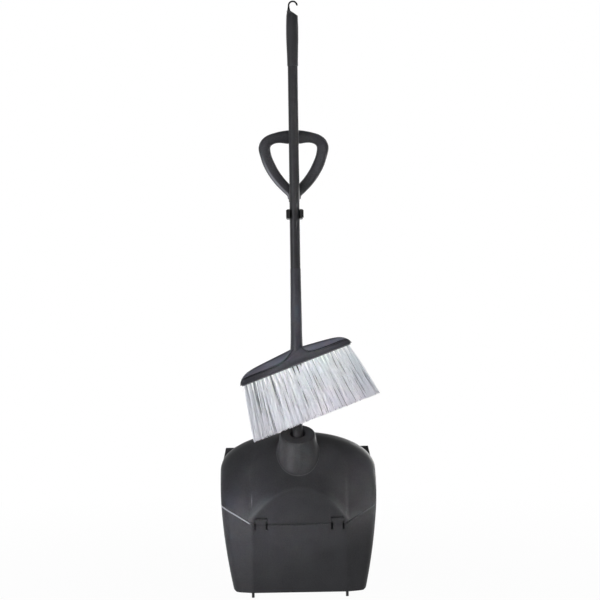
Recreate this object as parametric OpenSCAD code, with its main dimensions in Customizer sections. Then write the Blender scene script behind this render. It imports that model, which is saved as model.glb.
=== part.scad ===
// A lobby dustpan: a hooded pan on a tube handle, with a self-opening front lid and a clip-on broom.
// Millimetres. Z is up, the front faces -Y, and the origin lies on the pan's floor under the handle.

/* [Pan body] */
// Half width of the flat front panel, out to its soft crease
panel_half = 92.6; // [85:0.1:97]
// Half width of the body at the floor
floor_half = 130; // [122:0.5:136]
// Half width of the body at its widest
widest_half = 156; // [150:0.5:162]
// Height at which the body is widest
widest_z = 232; // [225:1:245]
// Front face to back face
pan_depth = 190; // [180:1:210]
// Front face to the handle's axis
pole_set_back = 72; // [66:1:78]
// Bend of the side wings away from the front panel, in degrees
wing_bend = 20; // [15:1:24]
// Wall of the hood and the tray
wall = 2.8; // [2.2:0.1:3.4]

/* [Hood] */
// Height of the dome's top
hood_top_z = 304; // [296:1:310]
// Height where the dome leaves the flat front face
arc_z = 200; // [190:1:210]
// Front face to the dome's crest
crest_depth = 130; // [120:1:140]
// How far the dome falls from its crest to the rear wall
rear_drop = 8; // [4:0.5:12]
// Height of the rear wall's square corners
ear_z = 267; // [260:1:272]
// How far those corners lie inside the widest line
ear_step = 8; // [5:0.5:12]

/* [Neck] */
// Radius of the neck at its rim
neck_rim_r = 35; // [30:0.5:38]
// Radius of the neck at its foot
neck_foot_r = 51; // [44:0.5:54]
// Height of the neck's foot
neck_foot_z = 228; // [220:1:232]
// Height of the rim on the handle's axis
neck_rim_z = 306; // [296:1:312]
// Slant of the rim towards the front, in degrees
neck_slant = 24; // [10:1:28]
// Bore of the neck
neck_bore_d = 32; // [28:0.5:34]

/* [Lid] */
// Wall of the lid
lid_wall = 2.6; // [2:0.1:3]
// Height of the lid's straight top edge
lid_z = 133.3; // [128:0.5:138]
// Rise of the seam along the wings
seam_rise = 35; // [28:1:38]
// Gap between the lid and the hood over the front panel
seam_gap = 2.2; // [2:0.1:3]
// The same gap at the outer end of a wing
wing_gap = 0.9; // [0.6:0.1:2]
// How far the wings reach back along the sides
wing_reach = 52; // [50:1:56]

/* [Hinge] */
// Diameter of a hinge pin
pin_d = 4; // [3:0.1:5]
// Radius of the hinge strap's barrel
barrel_r = 5.5; // [5:0.1:6]
// Width of a hinge strap
strap_w = 19.5; // [16:0.5:22]
// Handle axis to the middle of a strap
strap_place = 75.5; // [72:0.5:78]
// Largest opening angle of the lid, in degrees
lid_swing = 55; // [40:1:55]

/* [Lifter rods] */
// Diameter of a lifter rod
rod_d = 5.5; // [4:0.1:6]
// How far a rod reaches below the floor with the lid shut
rod_reach = 11; // [8:0.5:12]
// Travel of a rod
rod_travel = 11.5; // [9:0.5:12.5]

/* [Handle] */
// Outside diameter of both tubes
tube_d = 20; // [18:0.1:21]
// Wall of both tubes
tube_wall = 1.2; // [0.8:0.1:2]
// Height of the handle tube's top
handle_top_z = 770; // [720:1:800]
// Half width of the hand loop
loop_half = 70; // [62:1:76]
// Height of the hand loop above the tube
loop_h = 145; // [130:1:160]
// Thickness of the hand loop, front to back
loop_t = 22; // [18:0.5:26]

/* [Clip] */
// Middle height of the broom clip
clip_z = 744; // [680:1:755]
// Height of the clip
clip_h = 18; // [14:1:26]
// Distance between the two tube axes
tube_spacing = 31; // [30.5:0.5:34]
// Arm thickness of the clip
clip_arm = 7; // [4:0.1:8]

/* [Broom] */
// Tilt of the broom head, in degrees
head_tilt = 20.5; // [10:0.5:25]
// Height of the middle of the head's bristle line
head_z = 445.7; // [440:0.1:480]
// Half length of the head
head_half = 118.5; // [110:0.5:125]
// Thickness of the head
head_t = 38; // [34:0.5:40]
// Length of the bristles
bristle_len = 110; // [90:1:112]
// Half width of the bristles at the head
bristle_half = 115; // [95:1:116]
// How far the outermost bristles lean out at the tip
bristle_flare = 20; // [5:1:24]
// Height of the broom tube's top
broom_top_z = 1126; // [1000:1:1150]
// Length of the broom's hand grip
broom_grip_len = 100; // [80:1:130]
// Largest diameter of that grip
broom_grip_d = 24.7; // [23:0.1:28]

/* [Hidden] */
$fn = 64;

// Overrun of cuts past a face
cut = 1;
// Radial clearance of a pin or screw in its hole
pin_clear = 0.05;
// Radial clearance of a rod in its guide, and of the broom tube in its clip
slide_clear = 0.08;
clip_clear = 0.3;
// Clearance between the lid and what lies behind it
lid_clear = 0.8;

// Colours
charcoal = [0.16, 0.16, 0.17];
dark = [0.10, 0.10, 0.11];
steel = [0.62, 0.63, 0.65];
pale = [0.86, 0.86, 0.85];

// The body's planes
front_y = -pole_set_back;
back_y = front_y + pan_depth;
hood_back_y = back_y - wall;
crest_y = front_y + crest_depth;
ear_half = widest_half - ear_step;
reach = widest_half + pan_depth;

// The body's plan outline: a soft crease, a wing, then a round corner
crease_r = 20;
corner_r = 24;
quarter_turn = 90;
crease_steps = 3;
corner_steps = 8;
body_rows = 8;
tray_inset = lid_wall + lid_clear;

function half_w(z) = widest_half - (widest_half - floor_half) * pow((widest_z - z) / widest_z, 2);

// Distance along a wing from the crease to the corner's tangent point
function wing_run(w) = (w - corner_r - panel_half + corner_r * sin(wing_bend)) / cos(wing_bend);
function corner_y(w) = front_y + wing_run(w) * sin(wing_bend) + corner_r * cos(wing_bend);
function turn(r, a) = [r * sin(a), -r * cos(a)];

// The right half of the outline at height z, drawn in by inset, from the crease to the back
function right_side(z, inset, end_y) =
    let (w = half_w(z), crease = [panel_half - crease_r * tan(wing_bend / 2), front_y + crease_r])
    concat(
        [for (i = [0:crease_steps]) crease + turn(crease_r - inset, wing_bend * i / crease_steps)],
        [for (i = [0:corner_steps]) [w - corner_r, corner_y(w)]
            + turn(corner_r - inset, wing_bend + (quarter_turn - wing_bend) * i / corner_steps)],
        [[w - inset, end_y]]
    );

function body_loop(z, inset, end_y) =
    let (side = right_side(z, inset, end_y), last = len(side) - 1)
    [for (i = [0:2 * last + 1])
        let (p = i <= last ? side[i] : side[2 * last + 1 - i])
        [i <= last ? p.x : -p.x, p.y, z]];

// The dome: half ellipses in plan, whose half width and front edge depend on the height
slope_power = 1.77;
shoulder_power = 2;
dome_low_rows = 10;
dome_high_rows = 10;
dome_low_share = 0.56;
dome_end_share = 0.998;

function dome_half(z) = z <= widest_z ? half_w(z) :
    widest_half * pow(1 - pow((z - widest_z) / (hood_top_z - widest_z), shoulder_power), 1 / shoulder_power);
function dome_front(z) = front_y
    + crest_depth * (1 - pow((hood_top_z - z) / (hood_top_z - arc_z), 1 / slope_power));
function dome_row_z(k) = k <= dome_low_rows
    ? widest_z * (dome_low_share + (1 - dome_low_share) * k / dome_low_rows)
    : widest_z + (hood_top_z - widest_z) * dome_end_share * sin(quarter_turn * (k - dome_low_rows) / dome_high_rows);

// The seam between the lid and the hood: level over the front panel, rising along the wings
seam_half = half_w(lid_z + seam_rise / 2);
side_z = lid_z + seam_rise;
function within(v) = max(0, min(1, v));
function smooth(v) = v * v * (3 - 2 * v);
function seam_at(x) = lid_z + seam_rise * within((x - panel_half) / (seam_half - panel_half));

// The hood follows the body's outline at the seam. It starts to lean back at an arc on its front face
// and, beside the arc, at the seam, and turns into the dome above.
arc_half = 85;
arc_drop = 45;
panel_steps = 7;
function start_z(x) = max(seam_at(x) + seam_gap, arc_z - arc_drop * pow(x / arc_half, 2));
function lean(z, x) = pow(within((hood_top_z - z) / (hood_top_z - start_z(x))), 1 / slope_power);
function rear_z(z) = z - rear_drop * within((z - widest_z) / (hood_top_z - widest_z));
function hood_plan(z) =
    let (side = right_side(z, 0, 0))
    concat(
        [for (i = [0:panel_steps - 1]) [side[0].x * (i + 0.5) / panel_steps, front_y]],
        [for (i = [0:crease_steps + corner_steps + 1]) side[i]]
    );
function hood_right(z, inset, end_y) =
    let (low = min(z, widest_z), w = half_w(low), plan = hood_plan(low), wide = dome_half(z) - inset,
         high = within((z - arc_z) / (hood_top_z - arc_z)), drop = inset * high)
    concat(
        [for (p = plan)
            let (share = within(p.x / w),
                 straight = crest_y - (crest_y - p.y) * lean(z, p.x),
                 rounded = crest_y - (crest_y - dome_front(z)) * sqrt(1 - share * share))
            [wide * share, straight + (rounded - straight) * smooth(high) + inset, z - drop]],
        [[wide, end_y, rear_z(z) - drop]]
    );
function dome_loop(z, inset, end_y) =
    let (side = hood_right(z, inset, end_y), last = len(side) - 1)
    [for (i = [0:2 * last + 1])
        let (p = i <= last ? side[i] : side[2 * last + 1 - i])
        [i <= last ? p.x : -p.x, p.y, p.z]];

// Skins a list of closed loops, each counter-clockwise seen from above, into one solid
module skin(loops) {
    n = len(loops[0]);
    last = len(loops) - 1;
    polyhedron(
        points = [for (l = loops) each l],
        faces = concat(
            [[for (j = [0:n - 1]) (j + n / 2 - 1) % n]],
            [[for (j = [n - 1:-1:0]) last * n + (j + n / 2) % n]],
            [for (i = [0:last - 1], j = [0:n - 1]) [i * n + j, (i + 1) * n + j, (i + 1) * n + (j + 1) % n]],
            [for (i = [0:last - 1], j = [0:n - 1]) [i * n + j, (i + 1) * n + (j + 1) % n, i * n + (j + 1) % n]]
        )
    );
}

module body_skin(z0, z1, inset, end_y) {
    skin([for (k = [0:body_rows]) body_loop(z0 + (z1 - z0) * k / body_rows, inset, end_y)]);
}

module dome_skin(inset, end_y) {
    skin([for (k = [0:dome_low_rows + dome_high_rows]) dome_loop(dome_row_z(k), inset, end_y)]);
}

// Draws a side profile, given in y and z, right across the body
module across(w = reach) {
    rotate([90, 0, 90]) linear_extrude(2 * w, center = true) children();
}

// Draws a front profile, given in x and z, between two depths
module through(y0, y1) {
    translate([0, y1, 0]) rotate([90, 0, 0]) linear_extrude(y1 - y0) children();
}

module rod_x(r, x0, x1) {
    translate([x0, 0, 0]) rotate([0, 90, 0]) cylinder(r = r, h = x1 - x0);
}

module both_sides() {
    children();
    mirror([1, 0, 0]) children();
}

module below_seam(lift, wing_lift, z_end) {
    polygon([
        [-reach, side_z + wing_lift], [-seam_half, side_z + wing_lift], [-panel_half, lid_z + lift],
        [panel_half, lid_z + lift], [seam_half, side_z + wing_lift], [reach, side_z + wing_lift],
        [reach, z_end], [-reach, z_end]
    ]);
}

// The hinge line and its straps
hinge_y = front_y + barrel_r;
hinge_rise_share = 1.3;
hinge_z = lid_z + hinge_rise_share * barrel_r;
strap_x0 = strap_place - strap_w / 2;
strap_x1 = strap_place + strap_w / 2;
notch_gap = 3.5;
slot_h = 17;
lug_t = 3;
lug_r = 5;
notch_x0 = strap_x0 - notch_gap;
notch_x1 = strap_x1 + notch_gap;
barrel_gap = 1.5;
notch_top = hinge_z + barrel_r + barrel_gap;

// The lifter rods, their guides and their wedges
rod_x_place = panel_half;
rod_set_back = 12;
rod_y = front_y + rod_set_back;
guide_w = 12;
guide_z0 = 78;
guide_h = 22;
foot_h = 14;
wedge_x0 = notch_x1 + lug_t + pin_clear + lid_clear;
wedge_w = 5.5;
wedge_slope = 2;
wedge_gap = 1.4;
head_gap = 0.4;
// The lid's tail starts behind the hinge line and hangs straight below it when the lid is open
tail_r = 1.5;
tail_arm = rod_travel / (cos(lid_swing) + wedge_slope * sin(lid_swing) - 1);
tail_y = hinge_y + tail_arm * sin(lid_swing);
tail_z = hinge_z - tail_arm * cos(lid_swing);
tail_root = tail_arm;
head_z0 = guide_z0 + guide_h + head_gap;

// The tray: low walls behind the wings, higher ones behind the lid's side edges
floor_t = 3;
low_wall_z = guide_z0 + guide_h;
high_wall_z = side_z + 2 * wall;
step_lap = 6;
step_y = front_y + wing_reach - step_lap;
jamb_x = panel_half + wall / 2;

module rear_plate() {
    steps = 16;
    top = dome_row_z(dome_low_rows + dome_high_rows);
    through(hood_back_y, back_y) {
        polygon(concat(
            [for (s = [-1, 1], i = [0:steps])
                let (k = s < 0 ? i : steps - i, z = side_z + (top - side_z) * sin(quarter_turn * k / steps))
                [s * dome_half(z), rear_z(z)]]
        ));
        polygon([[-widest_half, side_z], [-widest_half, widest_z], [-ear_half, ear_z],
            [ear_half, ear_z], [widest_half, widest_z], [widest_half, side_z]]);
    }
}

// The four screws that hold the hood to the rear wall
screw_r = 1.75;
screw_head_r = 4;
screw_head_h = 2.6;
screw_len = 16;
boss_r = 4.5;
low_screw_z = 205;
high_screw_x = 70;
boss_sink_share = 0.6;
low_screw_x = half_w(low_screw_z) - wall - boss_sink_share * boss_r;
high_arch_z = widest_z
    + (hood_top_z - widest_z) * pow(1 - pow(high_screw_x / widest_half, shoulder_power), 1 / shoulder_power);
high_screw_z = rear_z(high_arch_z) - wall - boss_sink_share * boss_r;
hood_screw_places = [[low_screw_x, low_screw_z], [high_screw_x, high_screw_z]];

module at_hood_screws() {
    both_sides() for (p = hood_screw_places) translate([p.x, 0, p.y]) children();
}

module rod_y_way(r, y0, y1) {
    translate([0, y1, 0]) rotate([90, 0, 0]) cylinder(r = r, h = y1 - y0);
}

module pan_tray() {
    color(charcoal) difference() {
        union() {
            intersection() {
                difference() {
                    body_skin(0, high_wall_z, tray_inset, back_y);
                    translate([0, 0, floor_t])
                        body_skin(0, high_wall_z + floor_t, tray_inset + wall, hood_back_y);
                    translate([-jamb_x, front_y, floor_t]) cube([2 * jamb_x, 2 * corner_r, high_wall_z]);
                }
                across() polygon([[front_y, 0], [front_y, low_wall_z], [step_y, low_wall_z],
                    [step_y + wall, high_wall_z], [back_y, high_wall_z], [back_y, 0]]);
            }
            rear_plate();
            both_sides() {
                translate([rod_x_place - guide_w / 2, rod_y - guide_w / 2, guide_z0])
                    cube([guide_w, guide_w, guide_h]);
                translate([rod_x_place, rod_y, 0]) cylinder(d = guide_w, h = foot_h);
            }
        }
        both_sides() translate([rod_x_place, rod_y, -cut])
            cylinder(r = rod_d / 2 + slide_clear, h = high_wall_z);
        at_hood_screws() rod_y_way(screw_r + pin_clear, hood_back_y - cut, back_y + cut);
    }
}

// The neck: a slanted cone with a socket tube inside it
socket_r = neck_bore_d / 2 + wall;
socket_z = 203;
ring_t = 4;
neck_end_z = neck_rim_z + neck_rim_r;
neck_h = neck_rim_z - neck_foot_z;
neck_end_r = neck_rim_r - (neck_foot_r - neck_rim_r) * neck_rim_r / neck_h;

module above_rim(sink) {
    translate([0, 0, neck_rim_z - sink]) rotate([neck_slant, 0, 0])
        translate([-reach, -reach, 0]) cube([2 * reach, 2 * reach, reach]);
}

module neck_cone(inset, sink) {
    difference() {
        translate([0, 0, neck_foot_z])
            cylinder(r1 = neck_foot_r - inset, r2 = neck_end_r - inset, h = neck_end_z - neck_foot_z);
        above_rim(sink);
    }
}

module hood() {
    color(charcoal) {
        hood_shell();
        seam_lip();
    }
}

module hood_shell() {
    difference() {
        union() {
            difference() {
                union() {
                    intersection() {
                        dome_skin(0, hood_back_y);
                        translate([-reach, front_y, 0]) cube([2 * reach, pan_depth - wall, reach]);
                    }
                    neck_cone(0, 0);
                }
                intersection() {
                    dome_skin(wall, back_y);
                    translate([-reach, front_y + wall, 0]) cube([2 * reach, pan_depth, reach]);
                }
                neck_cone(wall, ring_t);
            }
            difference() {
                translate([0, 0, socket_z]) cylinder(r = socket_r, h = neck_end_z - socket_z);
                above_rim(ring_t / 2);
            }
            at_hood_screws() rod_y_way(boss_r, hood_back_y - screw_len, hood_back_y);
            both_sides() for (x = [notch_x0 - lug_t, notch_x1]) {
                translate([x, 0, 0]) across_lug();
            }
        }
        translate([0, 0, socket_z + wall]) cylinder(d = neck_bore_d, h = neck_end_z);
        through(front_y - cut, hood_back_y + cut) below_seam(seam_gap, wing_gap, -reach);
        both_sides() {
            translate([notch_x0, front_y - cut, 0])
                cube([notch_x1 - notch_x0, 2 * barrel_r + cut + barrel_gap, notch_top]);
            translate([0, hinge_y, hinge_z]) rod_x(pin_d / 2 + pin_clear, 0, panel_half + lug_t);
        }
        at_hood_screws() rod_y_way(screw_r + pin_clear, hood_back_y - screw_len - cut, hood_back_y + cut);
        translate([0, 0, screw_z]) rod_y_way(screw_r + pin_clear, 0, socket_r + cut);
    }
}

// A lip of the hood behind the lid's top edge, which keeps dust out of the seam between the hinges
lip_t = 1.6;
lip_h = 5;
lip_drop = 6;
lip_end_gap = 2;

module seam_lip() {
    lip_y = front_y + lid_wall + lid_clear;
    across(notch_x0 - lug_t - lip_end_gap) polygon([
        [front_y + wall / 2, lid_z + seam_gap], [front_y + wall / 2, lid_z + seam_gap + lip_h],
        [lip_y + lip_t, lid_z + seam_gap + lip_h - lip_t], [lip_y + lip_t, lid_z - lip_drop],
        [lip_y, lid_z - lip_drop], [lip_y, lid_z + seam_gap]
    ]);
}

// A lug behind the hood's front wall, with the hinge line through it
module across_lug() {
    rotate([90, 0, 90]) linear_extrude(lug_t)
        polygon([[front_y + wall / 2, lid_z + seam_gap], [front_y + wall / 2, notch_top + lug_r],
            [hinge_y + lug_r, hinge_z + lug_r], [hinge_y + lug_r, lid_z + seam_gap]]);
}

module lid() {
    color(charcoal) difference() {
        union() {
            intersection() {
                difference() {
                    body_skin(0, side_z, 0, front_y + wing_reach);
                    translate([0, 0, -cut]) body_skin(0, side_z + 2 * cut, lid_wall, back_y);
                }
                through(front_y - cut, back_y) below_seam(0, 0, 0);
                across() polygon([[front_y - cut, 0], [front_y - cut, side_z + cut],
                    [back_y, side_z + cut], [back_y, side_z], [front_y + wing_reach, wing_cut_z],
                    [front_y + corner_r, 0]]);
            }
            both_sides() {
                translate([0, hinge_y, hinge_z]) rod_x(barrel_r, strap_x0, strap_x1);
                translate([strap_x0, front_y, lid_z - slot_h])
                    cube([strap_w, lid_wall, hinge_z - lid_z + slot_h]);
                tail();
            }
        }
        both_sides() {
            translate([0, hinge_y, hinge_z]) rod_x(pin_d / 2 + pin_clear, strap_x0 - cut, strap_x1 + cut);
            for (x = [notch_x0, strap_x1])
                translate([x, front_y - cut, lid_z - slot_h]) cube([notch_gap, lid_wall + 2 * cut, reach]);
        }
    }
}
wing_cut_z = 12;

// The lid's tail, which the lifter's wedge pushes forward
module tail() {
    translate([wedge_x0, 0, 0]) rotate([90, 0, 90]) linear_extrude(wedge_w) {
        translate([tail_y, tail_z]) circle(tail_r);
        polygon([[tail_y, tail_z + tail_r], [front_y + lid_wall, hinge_z - tail_root],
            [front_y + lid_wall, hinge_z - tail_root - 2 * tail_r], [tail_y, tail_z - tail_r]]);
    }
}

module hinge_pin() {
    color(steel) translate([0, hinge_y, hinge_z]) rod_x(pin_d / 2, notch_x0 - lug_t, notch_x1 + lug_t);
}

module lifter_rod() {
    // The wedge's steep face passes just under the tail
    face = tail_z - wedge_slope * tail_y - (tail_r + wedge_gap) * sqrt(1 + wedge_slope * wedge_slope);
    toe_y = hinge_y + head_gap;
    heel_y = rod_y + rod_d / 2;
    toe_z = face + wedge_slope * toe_y;
    heel_z = face + wedge_slope * heel_y;
    color(steel) {
        translate([rod_x_place, rod_y, -rod_reach]) cylinder(d = rod_d, h = rod_reach + toe_z);
        translate([rod_x_place, toe_y, head_z0])
            cube([wedge_x0 + wedge_w - rod_x_place, heel_y - toe_y, toe_z - head_z0]);
        translate([wedge_x0, 0, 0]) rotate([90, 0, 90]) linear_extrude(wedge_w)
            polygon([[heel_y, head_z0], [heel_y, heel_z], [toe_y, toe_z], [toe_y, head_z0]]);
    }
}

module hood_screws() {
    color(steel) at_hood_screws() {
        rod_y_way(screw_r, hood_back_y - screw_len, back_y);
        rod_y_way(screw_head_r, back_y, back_y + screw_head_h);
    }
}

// The handle tube in its bush
bush_h = 40;
bush_z = socket_z + wall;
plug_h = 14;
plug_flange = 3;
tube_bore_r = tube_d / 2 - tube_wall;
tube_z = bush_z + plug_flange;
screw_rise = 22;
screw_z = socket_z + screw_rise;

module neck_bush() {
    color(dark) difference() {
        translate([0, 0, bush_z]) cylinder(r = neck_bore_d / 2 - pin_clear, h = bush_h);
        translate([0, 0, bush_z - cut]) cylinder(r = tube_d / 2 + pin_clear, h = bush_h + 2 * cut);
        translate([0, 0, screw_z]) rod_y_way(screw_r + pin_clear, 0, neck_bore_d);
    }
}

module tube_plug() {
    color(dark) {
        translate([0, 0, bush_z]) cylinder(r = tube_d / 2, h = plug_flange);
        translate([0, 0, tube_z]) cylinder(r = tube_bore_r - pin_clear, h = plug_h - plug_flange);
    }
}

module tube(z0, z1, y) {
    difference() {
        translate([0, y, z0]) cylinder(d = tube_d, h = z1 - z0);
        translate([0, y, z0 - cut]) cylinder(r = tube_bore_r, h = z1 - z0 + 2 * cut);
    }
}

module handle_tube() {
    color(dark) difference() {
        tube(tube_z, handle_top_z, 0);
        translate([0, 0, screw_z]) rod_y_way(screw_r + pin_clear, 0, tube_d);
        translate([0, 0, clip_z]) rod_y_way(screw_r + pin_clear, 0, tube_d);
        translate([0, 0, grip_pin_z]) rod_y_way(grip_pin_r + pin_clear, -tube_d, tube_d);
    }
}

module handle_screw() {
    color(steel) translate([0, 0, screw_z]) {
        rod_y_way(screw_r, tube_bore_r - tube_wall, socket_r);
        rod_y_way(screw_head_r, socket_r, socket_r + screw_head_h);
    }
}

// The hand loop: a rounded triangle with finger bumps, on a collar and a spigot
loop_round = 20;
loop_bar = 27;
loop_leg = 20;
collar_r = 11;
collar_h = 12;
spigot_h = 34;
grip_pin_r = 2;
grip_pin_share = 0.25;
grip_pin_z = handle_top_z - grip_pin_share * spigot_h;
loop_top = handle_top_z + loop_h;
loop_wide_share = 0.26;
loop_wide_z = loop_top - loop_wide_share * loop_h;
bump_r = 15;
bump_x = 21;
bump_sink_share = 0.65;

module loop_outline() {
    inner_top = loop_top - loop_bar;
    difference() {
        hull() {
            for (s = [-1, 1]) translate([s * (loop_half - loop_round), loop_wide_z]) circle(loop_round);
            translate([0, loop_top - 3 * loop_round]) circle(3 * loop_round);
            translate([0, handle_top_z + collar_r]) circle(collar_r);
        }
        difference() {
            hull() {
                for (s = [-1, 1])
                    translate([s * (loop_half - loop_leg - loop_round / 2), inner_top - loop_round / 2])
                        circle(loop_round / 3);
                translate([0, handle_top_z + 2 * loop_leg]) circle(loop_round / 5);
            }
            for (s = [-1, 1]) translate([s * bump_x / 2, inner_top + bump_sink_share * bump_r]) circle(bump_r);
        }
    }
}

module grip_loop() {
    color(charcoal) difference() {
        union() {
            through(-loop_t / 2, loop_t / 2) loop_outline();
            translate([0, 0, handle_top_z]) cylinder(r = collar_r, h = collar_h);
            translate([0, 0, handle_top_z - spigot_h]) cylinder(r = tube_bore_r - pin_clear, h = spigot_h + cut);
        }
        translate([0, 0, grip_pin_z]) rod_y_way(grip_pin_r + pin_clear, -tube_d, tube_d);
    }
}

module grip_pin() {
    color(steel) translate([0, 0, grip_pin_z]) rod_y_way(grip_pin_r, -tube_d / 2, tube_d / 2);
}

// The clip: a ring round the handle and a fork for the broom's pole
fork_r = tube_d / 2 + clip_clear;
fork_reach = 9;
clip_chamfer = 2.2;
broom_y = -tube_spacing;

module clip_blank() {
    ring_r = tube_d / 2 + clip_arm;
    translate([0, 0, clip_z - clip_h / 2]) linear_extrude(clip_h) difference() {
        union() {
            circle(ring_r);
            translate([0, broom_y]) circle(fork_r + clip_arm);
            translate([-fork_r - clip_arm, broom_y - fork_reach])
                square([2 * (fork_r + clip_arm), fork_reach]);
            translate([-ring_r, broom_y]) square([2 * ring_r, tube_spacing]);
        }
        circle(tube_d / 2 + pin_clear);
        translate([0, broom_y]) circle(fork_r);
        translate([-fork_r, broom_y - tube_d]) square([2 * fork_r, tube_d]);
    }
}

// The clip's outline from the front, with its four corners cut off
module clip_front() {
    w = fork_r + clip_arm;
    h = clip_h / 2;
    c = clip_chamfer;
    translate([0, clip_z]) polygon([[-w + c, -h], [w - c, -h], [w, -h + c], [w, h - c],
        [w - c, h], [-w + c, h], [-w, h - c], [-w, -h + c]]);
}

module broom_clip() {
    color(dark) difference() {
        intersection() {
            clip_blank();
            through(-reach, reach) clip_front();
        }
        translate([0, 0, clip_z]) rod_y_way(screw_r + pin_clear, 0, tube_d / 2 + clip_arm + cut);
    }
}

module clip_screw() {
    ring_r = tube_d / 2 + clip_arm;
    color(steel) translate([0, 0, clip_z]) {
        rod_y_way(screw_r, tube_bore_r + pin_clear, ring_r);
        rod_y_way(screw_head_r, ring_r, ring_r + screw_head_h);
    }
}

// The broom
socket_len = 150;
socket_top_r = 10.8;
socket_low_r = 11.7;
socket_rise = 40;
socket_wall_z = head_z + socket_rise;
tip_step = 10;
broom_tube_z = socket_wall_z + tip_step;
socket_top_z = socket_wall_z + socket_len;
tip_h = 30;

module broom_tube() {
    color(dark) tube(broom_tube_z, broom_top_z, broom_y);
}

module broom_tip() {
    color(dark) translate([0, broom_y, 0]) {
        translate([0, 0, socket_wall_z + pin_clear]) cylinder(r = tube_d / 2, h = broom_tube_z - socket_wall_z - pin_clear);
        translate([0, 0, broom_tube_z]) cylinder(r = tube_bore_r - pin_clear, h = tip_h);
    }
}

// The hand grip swells in the middle and runs down to the tube
module broom_grip() {
    z0 = broom_top_z + grip_lip - broom_grip_len;
    shares = [[0, 0], [0.12, 0.16], [0.3, 0.62], [0.5, 1], [0.75, 0.92], [1, 0.45]];
    thin = tube_d / 2 + 2 * pin_clear + grip_skin;
    fat = broom_grip_d / 2;
    color(charcoal) translate([0, broom_y, z0]) rotate_extrude() polygon(concat(
        [for (s = shares) [thin + (fat - thin) * s.y, broom_grip_len * s.x]],
        [[tube_d / 2 + pin_clear, broom_grip_len], [tube_d / 2 + pin_clear, 0]]
    ));
}
grip_skin = 0.8;
grip_lip = 12;

// The end cap with its slanted top and hanging hook
hook_r = 1.3;
hook_bend = 8.2;
hook_x = -6.5;
hook_rise = 7.5;
cap_h = 13;
cap_slant = 32;
module hanger_cap() {
    z0 = broom_top_z + grip_lip;
    r = broom_grip_d / 2 - grip_skin;
    color(charcoal) translate([0, broom_y, 0]) {
        difference() {
            translate([0, 0, z0]) cylinder(r = r, h = 2 * cap_h);
            translate([-r, 0, z0 + cap_h]) rotate([0, cap_slant, 0])
                translate([-reach, -reach, 0]) cube([2 * reach, 2 * reach, reach]);
        }
        translate([0, 0, broom_top_z - cap_h]) cylinder(r = tube_bore_r - pin_clear, h = cap_h + grip_lip);
        translate([hook_x + hook_bend, 0, z0 + cap_h + hook_rise]) rotate([90, 0, 0])
            rotate_extrude(angle = 2 * quarter_turn) translate([hook_bend, 0]) circle(hook_r);
        translate([hook_x, 0, z0]) cylinder(r = hook_r, h = cap_h + hook_rise);
    }
}

// The angled head: a block with a rounded back, a raised lower band that sweeps up to the socket on
// both sides, and a long socket for the pole
band_h = 10.2;
band_proud = 3;
crown_h = 30.3;
crown_slope_share = 0.092;
crown_half = 7;
stem_half = 13;
crown_power = 9.6;
crown_round = 0.75;
head_steps = 14;
head_shift = -1.5;
sweep_h = 57;
sweep_fade = 9.5;
sweep_start = 10.3;
sweep_run = 40;
sweep_steps = 10;
foot_flare = 2;

// Height of the block's upper edge at a place along it
function head_edge(x) =
    (crown_h - crown_slope_share * abs(x)) * pow(1 - pow(abs(x) / head_half, crown_power), crown_round);
// Height of the band's edge at a distance from the socket's axis, and the axis at that height
function sweep_z(off) = band_h + sweep_h * exp(-off / sweep_fade);
function axis_x(z) = z * tan(head_tilt) - head_shift / cos(head_tilt);

module head_outline() {
    polygon([for (i = [-head_steps:head_steps])
        let (x = head_half * sin(quarter_turn * i / head_steps)) [x, head_edge(x)]]);
}

module band_outline() {
    polygon(concat(
        [[-head_half, 0], [-head_half, band_h]],
        [for (s = [-1, 1], i = [0:sweep_steps])
            let (k = s < 0 ? sweep_steps - i : i, off = sweep_start + sweep_run * k / sweep_steps, z = sweep_z(off))
            [axis_x(z) + s * off, z]],
        [[head_half, band_h], [head_half, 0]]
    ));
}

// A side profile of the head, straight up to the band's edge and then drawn in to the crown
module head_profile(low_half, top_half) {
    across() polygon([[-low_half, 0], [low_half, 0], [low_half, band_h], [top_half, crown_h],
        [-top_half, crown_h], [-low_half, band_h]]);
}

module tilted() {
    translate([head_shift, broom_y, head_z]) rotate([0, -head_tilt, 0]) children();
}

module broom_head() {
    color(charcoal) difference() {
        union() {
            tilted() {
                intersection() {
                    through(-head_t, head_t) head_outline();
                    head_profile(head_t / 2 - band_proud, crown_half);
                }
                intersection() {
                    through(-head_t, head_t) intersection() {
                        head_outline();
                        band_outline();
                    }
                    head_profile(head_t / 2, stem_half);
                }
            }
            translate([0, broom_y, head_z + band_h])
                cylinder(r1 = socket_low_r + foot_flare, r2 = socket_low_r, h = socket_wall_z - head_z - band_h);
            translate([0, broom_y, socket_wall_z])
                cylinder(r1 = socket_low_r, r2 = socket_top_r, h = socket_len);
        }
        translate([0, broom_y, socket_wall_z]) cylinder(r = tube_d / 2 + pin_clear, h = socket_len + cut);
    }
}

// Bristles: three rows of tufted strands on a slice of the head
slice_t = 2;
strand_r = 0.9;
strand_count = 65;
row_pitch = 11;
line_pitch = 4.6;
strand_sides = 3;
row_depth = 9;

module strand(x0, x1, y0, y1) {
    root = slice_t / 2;
    ends = [[x0, y0, -root], [x1, y1, -slice_t - bristle_len]];
    ring = [for (e = [1, 0], k = [0:strand_sides - 1]) let (a = 360 * k / strand_sides)
        ends[e] + strand_r * [cos(a), sin(a), 0]];
    polyhedron(points = ring, faces = concat(
        [[0, 1, 2], [5, 4, 3]],
        [for (k = [0:strand_sides - 1]) let (j = (k + 1) % strand_sides) [k, strand_sides + k, strand_sides + j]],
        [for (k = [0:strand_sides - 1]) let (j = (k + 1) % strand_sides) [k, strand_sides + j, j]]
    ));
}

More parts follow.
